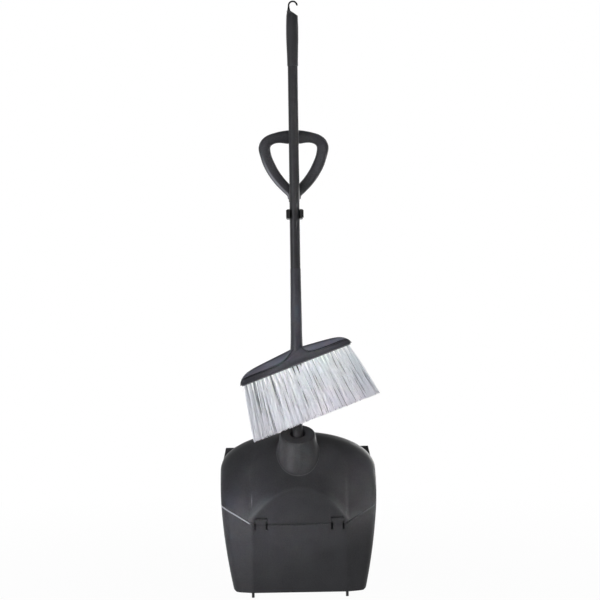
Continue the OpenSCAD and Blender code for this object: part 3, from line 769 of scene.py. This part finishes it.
for node in ("hood_screws", "handle_screw", "grip_pin", "clip_screw"):
    finished(node + "_turned", from_cad(node), zinc, "pan", [node], 0.0004)
for node in ("hinge_pin_left", "hinge_pin_right"):
    finished(node + "_turned", from_cad(node), black_steel, "pan", [node], 0.0004)
for side in ("left", "right"):
    node = "lifter_rod_" + side
    body = "lifter_" + side
    finished(body + "_turned", from_cad(node), black_steel, body, [node], 0.0004)

# The bush in the neck, the plug in the tube's end and the broom clip are black nylon mouldings,
# a little glossier than the pan.
nylon = plastic("black_nylon", "#171718", 1.6, 0.04, 0.38, 0.2)
finished("neck_sleeve", from_cad("neck_bush"), nylon, "pan", ["neck_bush"], 0.0006)
finished("tube_end_plug", from_cad("tube_plug"), nylon, "pan", ["tube_plug"], 0.0004)
finished("clip_fork", from_cad("broom_clip"), nylon, "pan", ["broom_clip"], 0.0012)


def lathe(profile, axis_y, count=64):
    """Turns a closed profile of radius and height round a vertical axis."""
    shape = bmesh.new()
    verts = [shape.verts.new((r, axis_y, z)) for r, z in profile]
    edges = [shape.edges.new((verts[i], verts[(i + 1) % len(verts)])) for i in range(len(verts))]
    bmesh.ops.spin(shape, geom=verts + edges, cent=(0, axis_y, 0), axis=(0, 0, 1), angle=2 * math.pi,
                   steps=count, use_merge=True)
    bmesh.ops.remove_doubles(shape, verts=shape.verts, dist=0.000005)
    bmesh.ops.recalc_face_normals(shape, faces=shape.faces)
    return shape


def tube_profile(low, high, outer, wall, round_over=0.0004):
    return [(outer - wall, low), (outer - round_over, low), (outer, low + round_over),
            (outer, high - round_over), (outer - round_over, high), (outer - wall, high)]


# Both poles are thin steel tubes with a baked charcoal powder coat, smooth with a faint orange peel.
# A plug in the broom tube's lower end screws into the head's socket.
tube_radius = 0.010
tube_wall = 0.0012
coat = plastic("charcoal_powder_coat", "#2C2C2E", 3.0, 0.05, 0.34, 0.14, 0.12)
handle_foot = 0.2088
handle_top = 0.770
handle = lathe(tube_profile(handle_foot, handle_top, tube_radius, tube_wall), pole_y)
finished("handle_pole", handle, coat, "pan", ["handle_tube"])
broom_y = -0.031
broom_foot = 0.4957
broom_top = 1.126
pole = lathe(tube_profile(broom_foot, broom_top, tube_radius, tube_wall), broom_y)
finished("broom_pole", pole, coat, "broom", ["broom_tube"])
finished("broom_thread_plug", from_cad("broom_tip"), nylon, "broom", ["broom_tip"], 0.0004)

# The hand loop is a hollow-gripped triangle moulded in charcoal polypropylene with finger bumps under
# its top bar. Its spigot is pinned into the tube.
loop_plastic = plastic("grained_polypropylene", "#37373A", 2.0, 0.16, 0.42, 0.12, 0.45, "#9C9CA2")
loop_outer = [(0, 914.5), (16, 913.5), (34, 910.2), (52, 904.4), (63.3, 896), (69, 886), (70.4, 876),
              (67.3, 862), (61, 843), (50, 822.5), (36.5, 804.5), (23.5, 791), (14.2, 782), (10.9, 775)]
loop_inner = [(0, 888.5), (12, 886.8), (21, 888), (31, 888.6), (40, 886.6), (45.4, 882.4), (46.6, 876),
              (44, 862), (37.5, 846.5), (30.5, 833), (20.5, 818.5), (10.5, 807), (4.5, 799), (1.5, 790)]
loop_depth = 0.0108
loop_sides = 16
rim_side = 14
highlight_top = 0.87
highlight_fade = 0.05
highlight_side = -0.012


def eased(points, count):
    """A smooth closed curve through points, with a number of steps for each."""
    out = []
    for i in range(len(points)):
        a, b, c, d = (points[(i + k) % len(points)] for k in (-1, 0, 1, 2))
        for t in steps(count)[:-1]:
            out.append(b + (c - a) * t / 2 + (a - b * 2.5 + c * 2 - d / 2) * t ** 2
                       + (b * 1.5 - a / 2 - c * 1.5 + d / 2) * t ** 3)
    return out


def whole(points):
    """A right half and its mirror image as one closed run, in metres."""
    right = [Vector((x, 0, z)) / 1000 for x, z in points]
    return right + [Vector((-v.x, 0, v.z)) for v in reversed(right[1:])]


loop = bmesh.new()
layer = loop.verts.layers.float.new("mark")
loops = []
for outer, inner in zip(eased(whole(loop_outer), 4), eased(whole(loop_inner), 4)):
    middle = (outer + inner) / 2
    half = (outer - inner) / 2
    ring = []
    for k in range(loop_sides):
        turn = 2 * math.pi * k / loop_sides
        sine = math.sin(turn)
        cosine = math.cos(turn)
        wide = half * math.copysign(abs(cosine) ** 0.85, cosine)
        deep = loop_depth * math.copysign(abs(sine) ** 0.8, sine)
        vert = loop.verts.new(middle + wide + Vector((0, deep, 0)))
        # A painted highlight runs as a pale line along the front edge of the lower left leg
        on_line = k == rim_side and outer.x < highlight_side
        vert[layer] = clamp((highlight_top - outer.z) / highlight_fade) if on_line else 0.0
        ring.append(vert)
    loops.append([loop.edges.new((ring[k], ring[(k + 1) % loop_sides])) for k in range(loop_sides)])
for first, second in zip(loops, loops[1:] + loops[:1]):
    bmesh.ops.bridge_loops(loop, edges=first + second)
bmesh.ops.recalc_face_normals(loop, faces=loop.faces)
stem_profile = [(0.0, 0.736), (0.00865, 0.736), (0.00875, 0.7365), (0.00875, handle_top),
                (0.0106, handle_top), (0.011, 0.7705), (0.011, 0.776), (0.0116, 0.782), (0.0125, 0.790),
                (0.0105, 0.798), (0.0, 0.801)]
stem = lathe(stem_profile, pole_y, 48)
finished("hand_loop", join(loop, stem), loop_plastic, "pan", ["grip_loop"], 0.0, 60)

# The broom's hand grip is a slim swelling sleeve, and its end cap a slanted plug with a black hook that
# grows out of its left side.
grip_plastic = plastic("charcoal_grip_plastic", "#303032", 1.8, 0.05, 0.36, 0.14, 0.2, "#0E0E0F")
grip_low = 1.038
grip_profile = [(10.05, 0), (10.5, 0), (10.9, 1.5), (11.0, 10), (11.35, 25), (11.9, 40), (12.3, 55),
                (12.35, 65), (12.2, 80), (11.8, 92), (11.5, 99.6), (11.2, 100), (10.05, 100)]
finished("broom_hand_grip", lathe([(r / 1000, grip_low + z / 1000) for r, z in grip_profile], broom_y),
         grip_plastic, "broom", ["broom_grip"])
grip_top = grip_low + 0.1
hook_x = -0.0065
hook_bend = 0.0082
hook_radius = 0.0017
hook_swell = 0.0026
hook_foot = grip_top + 0.008
hook_leg = 0.0125
hook_rows = []
for f in steps(6):
    hook_rows.append((hook_x, hook_foot + hook_leg * f, hook_radius + hook_swell * (1 - f) ** 2, math.pi))
for f in steps(20)[1:]:
    lean = math.pi * (1 - f)
    x = hook_x + hook_bend * (1 + math.cos(lean))
    hook_rows.append((x, hook_foot + hook_leg + hook_bend * math.sin(lean), hook_radius, lean))


def hook_place(turn, row):
    x, z, radius, lean = row
    out = radius * math.cos(turn)
    return x + out * math.cos(lean), broom_y - radius * math.sin(turn), z + out * math.sin(lean)


hook = skin([2 * math.pi * f for f in steps(24)], hook_rows, hook_place, lambda turn, row: 1.0)
seal(hook, ends=True)
cap = from_cad("hanger_cap")
cap_flank = -0.008
cap_height = 0.018
flank_pull = 0.9
for vert in cap.verts:
    if vert.co.x < cap_flank:
        vert.co.x += flank_pull * (cap_flank - vert.co.x) * clamp((vert.co.z - grip_top) / cap_height)
finished("hanging_cap", join(hook, cap), grip_plastic, "broom", ["hanger_cap"])

# The broom head is an angled polypropylene block: a proud lower band that sweeps up into a long socket,
# with a recessed panel on each side of it.
head_plastic = plastic("slate_polypropylene", "#313137", 2.2, 0.05, 0.42, 0.2, 0.2, "#52525C")
head_tilt = math.radians(20.5)
head_z = 0.4457
head_shift = -0.0015
tilt = Matrix.Translation((head_shift, broom_y, head_z)) @ Matrix.Rotation(-head_tilt, 4, "Y")
head_half = 0.1185
band_height = 0.0102
crown_height = 0.0303
sweep_height = 0.057
sweep_fade = 0.0095
sweep_top = 0.045
end_height = 0.0008
end_power = 9.6
crown_fall = 0.092
band_reach = 0.019
band_taper = 0.0055
panel_reach = 0.0157
panel_taper = 0.009
groove_depth = 0.006
groove_width = 0.0025
end_start = 0.106
edge_round = 0.0012


def between(low, high, value):
    return clamp((value - low) / (high - low))


def head_top(s):
    """Height of the head's upper edge above the bristle line."""
    end = max(0.0, 1 - (abs(s) / head_half) ** end_power)
    return end_height + (crown_height - crown_fall * abs(s)) * end ** 0.75


def band_edge(s):
    """Height of the proud band's upper edge, which sweeps up to the socket on both sides."""
    h = band_height
    for _ in range(60):
        axis = h * math.tan(head_tilt) - head_shift / math.cos(head_tilt)
        h = min(sweep_top, band_height + sweep_height * math.exp(-abs(s - axis) / sweep_fade))
    return h


def band_depth(h):
    return band_reach - band_taper * smooth(between(band_height, crown_height, h))


def panel_depth(h):
    return panel_reach - panel_taper * between(band_height, crown_height, h) ** 1.3


def head_section(s):
    """The outline of the head across its length: band, groove, panel and rounded top, front and back."""
    top = head_top(s)
    edge = min(band_edge(s), top - 0.0006)
    fade = math.sqrt(max(0.1, 1 - between(end_start, head_half, abs(s)) ** 2))
    front = [(band_depth(0) - edge_round, 0.0), (band_depth(0), min(edge_round, edge / 3))]
    front += [(band_depth(edge * f), edge * f) for f in (0.5, 0.8, 0.93)]
    front.append((band_depth(edge) - 0.0009, edge))
    rise = top - edge
    groove = min(groove_width, rise * 0.25)
    front.append((panel_depth(edge) - groove_depth, edge + groove * 0.1))
    front.append((panel_depth(edge) - groove_depth, edge + groove))
    for f in (groove / rise + 0.03, 0.5, 0.68, 0.84):
        front.append((panel_depth(edge + rise * f), edge + rise * f))
    crown = panel_depth(top)
    front.append((crown + 0.0002, top - min(0.0016, rise * 0.1)))
    front += [(crown * 0.72, top - 0.0003), (crown * 0.3, top)]
    back = [(-y, h) for y, h in reversed(front)]
    return [(-y * fade, h) for y, h in front] + [(-y * fade, h) for y, h in back]


head_columns = [head_half * math.sin(math.pi / 2 * i / 90) for i in range(-90, 91)]
sections = {s: head_section(s) for s in head_columns}
head_rows = list(range(len(sections[0.0]) + 1))
panel_points = (8, 9, 10, 11)


def head_place(s, row):
    y, h = sections[s][row % len(sections[s])]
    return tilt @ Vector((s, y, h))


def head_mark(s, row):
    """The recessed panels are painted paler than the band: painted light, as they face a little upwards."""
    return 1.0 if min(row, len(sections[s]) - 1 - row) in panel_points else 0.0


head = seal(skin(head_columns, head_rows, head_place, head_mark), ends=True)
# Half width, half depth and height of the socket's rings, up its outside and down its hole
socket_rows = [(0.0140, 0.0165, 0.4537), (0.0131, 0.0155, 0.4667), (0.0126, 0.0145, 0.4767),
               (0.0121, 0.0134, 0.4867), (0.0118, 0.0126, 0.4967), (0.0116, 0.0120, 0.509),
               (0.0115, 0.0116, 0.529), (0.0112, 0.0112, 0.559), (0.0107, 0.0107, 0.600),
               (0.0106, 0.0106, 0.6350), (0.0104, 0.0104, 0.6357), (0.01005, 0.01005, 0.6357),
               (0.01005, 0.01005, 0.4857)]
socket_turns = [2 * math.pi * f for f in steps(64)]


def socket_place(turn, row):
    wide, deep, z = row
    return wide * math.sin(turn), broom_y - deep * math.cos(turn), z


socket = seal(skin(socket_turns, socket_rows, socket_place))
finished("head_block", join(head, socket), head_plastic, "broom", ["broom_head"], 0.0, 50)

# The bristles are white polyester filaments, stapled in tufts and flared towards the tips.
# Most strands are white all along; some have a length that lies in the shade of others.
filament, tree = new_material("white_polyester_filament")
shade = add_node(tree, "ShaderNodeAttribute", attribute_name="strand_shade")
ramp = add_node(tree, "ShaderNodeValToRGB", {"Fac": shade.outputs["Fac"]})
ramp.color_ramp.elements[0].color = linear("#6A6B70")
ramp.color_ramp.elements[1].color = linear("#FAFBFF")
surface = add_node(tree, "ShaderNodeBsdfPrincipled",
                   {"Base Color": ramp.outputs[0], "Roughness": 0.4, "IOR": 1.55, "Specular IOR Level": 0.4})
add_node(tree, "ShaderNodeOutputMaterial", {"Surface": surface.outputs[0]})

bristle_half = 0.115
bristle_flare = 0.020
bristle_length = 0.110
slice_depth = 0.002
strand_radius = 0.0005
row_pitch = 0.011
tuft_count = 26
tuft_strands = 32
tuft_depth = 0.0038
root_spread = 0.56
tip_spread = 1.8
end_share = 0.985
shaded_share = 0.16
strand = bmesh.new()
bmesh.ops.create_cone(strand, cap_ends=True, segments=4, radius1=strand_radius, radius2=strand_radius * 0.9,
                      depth=1)
bmesh.ops.translate(strand, verts=strand.verts, vec=(0, 0, -0.5))
upright = [e for e in strand.edges if abs(e.verts[0].co.z - e.verts[1].co.z) > 0.5]
bmesh.ops.subdivide_edges(strand, edges=upright, cuts=5)
strand_data = bpy.data.meshes.new("strand")
strand.to_mesh(strand_data)
strand.free()
chance = random.Random(7)
for name, row in (("front", -1), ("middle", 0), ("back", 1)):
    tufts = bmesh.new()
    layer = tufts.verts.layers.float.new("strand_shade")
    bmesh.ops.create_cube(tufts, size=1, matrix=Matrix.Translation((0, row * row_pitch, -slice_depth / 2))
                          @ Matrix.Diagonal((2 * bristle_half, 0.009, slice_depth, 1)))
    for i in range(tuft_count):
        for _ in range(tuft_strands):
            spread = chance.uniform(-0.5, 0.5)
            root_share = (2 * (i + 0.5 + spread * root_spread) / tuft_count - 1) * end_share
            tip_share = max(-1, min(1, 2 * (i + 0.5 + spread * tip_spread) / tuft_count - 1)) * end_share
            deep = chance.uniform(-tuft_depth, tuft_depth)
            root = Vector((root_share * bristle_half, row * row_pitch + deep, -slice_depth * 0.6))
            tip = Vector((tip_share * (bristle_half + bristle_flare), row * row_pitch + deep * 1.25,
                          -slice_depth - bristle_length * chance.uniform(0.965, 1.02)))
            bow = Vector((chance.uniform(-0.0012, 0.0012), chance.uniform(-0.001, 0.001), 0))
            shaded = chance.random() < shaded_share
            shade_start = chance.uniform(-0.3, 0.9)
            shade_end = shade_start + chance.uniform(0.3, 0.8)
            before = len(tufts.verts)
            tufts.from_mesh(strand_data)
            tufts.verts.ensure_lookup_table()
            for vert in tufts.verts[before:]:
                down = -vert.co.z
                aside = Vector((vert.co.x, vert.co.y, 0))
                vert.co = root + (tip - root) * down + bow * math.sin(math.pi * down) + aside
                vert[layer] = 0.0 if shaded and shade_start < down < shade_end else 1.0
    bmesh.ops.transform(tufts, verts=tufts.verts, matrix=tilt)
    finished("bristle_tufts_" + name, tufts, filament, "broom", ["bristles_" + name])
